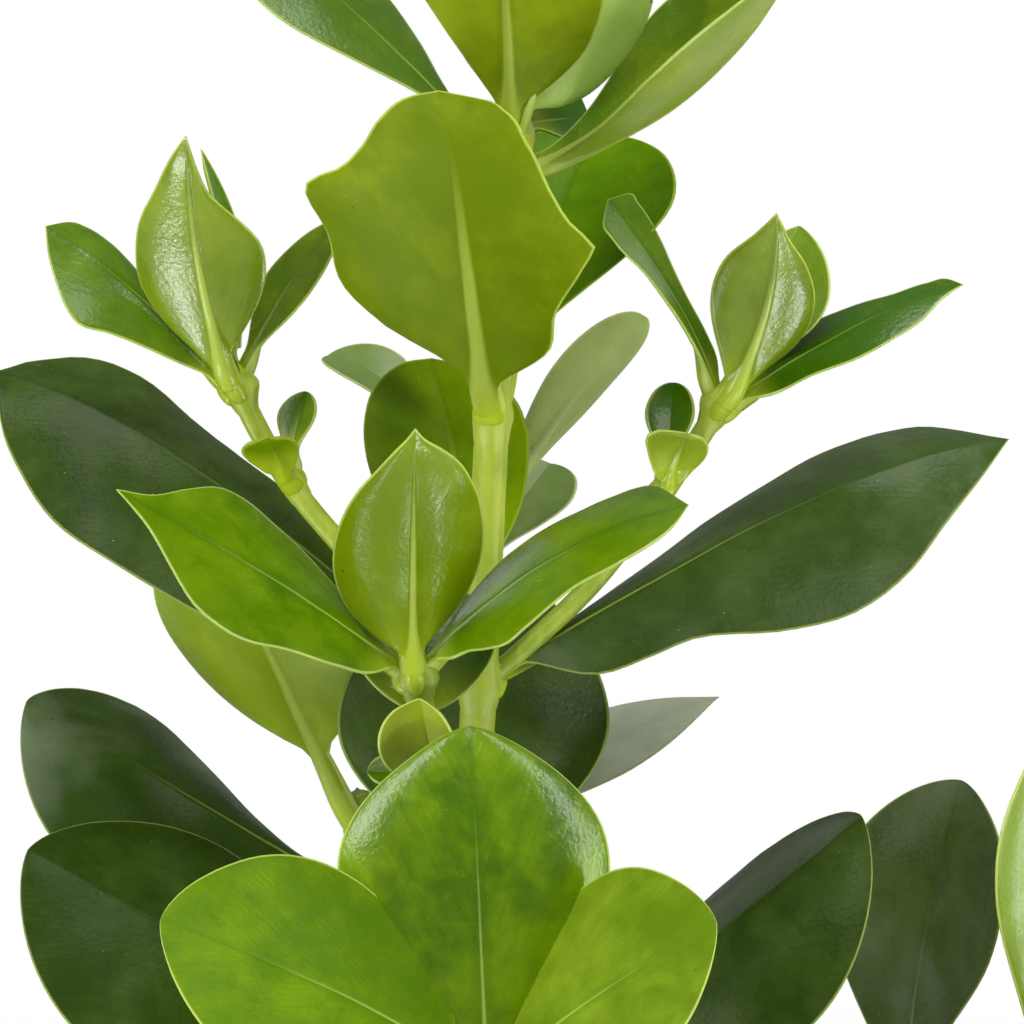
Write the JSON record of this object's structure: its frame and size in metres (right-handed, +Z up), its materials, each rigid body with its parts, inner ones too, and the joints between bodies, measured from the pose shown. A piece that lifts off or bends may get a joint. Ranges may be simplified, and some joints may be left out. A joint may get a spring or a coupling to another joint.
{
  "type": "potted plant",
  "caption": "Young clusia with thick leathery paddle leaves in opposite pairs on green jointed stems, rooted in the soil of a plain round plastic pot with a turned-out rim.",
  "frame": {"origin": "centre of the pot's flat bottom, in the plane it stands on", "axes": "+Z up along the plant; -Y is the side the leaves face and the camera looks from, +X is to that viewer's right"},
  "size_m": [0.2687, 0.2564, 0.55],
  "materials": {
    "pot": "satin moulded",
    "soil": "loose peat-like potting soil",
    "stem": "smooth green bark",
    "leaf_young": "waxy sheen",
    "leaf_old": "waxy sheen"
  },
  "bodies": {
    "root": {"pot": "pot", "soil": "soil", "stem_main": "stem", "stem_second": "stem", "stem_third": "stem", "leaf_crown_left": "leaf_young", "leaf_crown_right": "leaf_young", "leaf_crown_front": "leaf_young", "leaf_crown_back": "leaf_young", "leaf_crown_inner": "leaf_young", "leaf_crown_small_left": "leaf_young", "leaf_crown_small_right": "leaf_young", "leaf_upper_front": "leaf_young", "leaf_upper_back": "leaf_young", "leaf_back_shoot_front": "leaf_young", "leaf_back_shoot_right": "leaf_young", "leaf_back_shoot_low": "leaf_young", "leaf_back_shoot_left": "leaf_young", "leaf_left_shoot_front": "leaf_young", "leaf_left_shoot_back": "leaf_young", "leaf_left_shoot_left": "leaf_young", "leaf_left_shoot_right": "leaf_young", "leaf_left_shoot_small_back": "leaf_young", "leaf_left_shoot_small_front": "leaf_young", "leaf_right_shoot_front": "leaf_young", "leaf_right_shoot_back": "leaf_young", "leaf_right_shoot_left": "leaf_young", "leaf_right_shoot_right": "leaf_young", "leaf_right_shoot_small_back": "leaf_young", "leaf_right_shoot_small_front": "leaf_young", "leaf_front_shoot_front": "leaf_young", "leaf_front_shoot_left": "leaf_young", "leaf_front_shoot_right": "leaf_young", "leaf_front_shoot_back": "leaf_young", "leaf_front_shoot_rolled": "leaf_young", "leaf_front_shoot_small": "leaf_young", "leaf_middle_left": "leaf_old", "leaf_middle_right": "leaf_old", "leaf_lower_back": "leaf_old", "leaf_second_right": "leaf_old", "leaf_second_front": "leaf_old", "leaf_second_left": "leaf_old", "leaf_low_left": "leaf_old", "leaf_low_right": "leaf_old", "leaf_third_back": "leaf_old", "leaf_third_shoot_front": "leaf_young", "leaf_third_shoot_back": "leaf_young", "leaf_sprig_back": "leaf_young", "leaf_sprig_left": "leaf_young", "leaf_sprig_right": "leaf_young", "leaf_sprig_front": "leaf_young", "leaf_second_low_left": "leaf_old", "leaf_second_low_back": "leaf_old", "leaf_third_front": "leaf_old", "leaf_third_low_front": "leaf_old", "leaf_third_low_back": "leaf_old", "leaf_base_front": "leaf_old", "leaf_base_back": "leaf_old"}
  },
  "joints": []
}
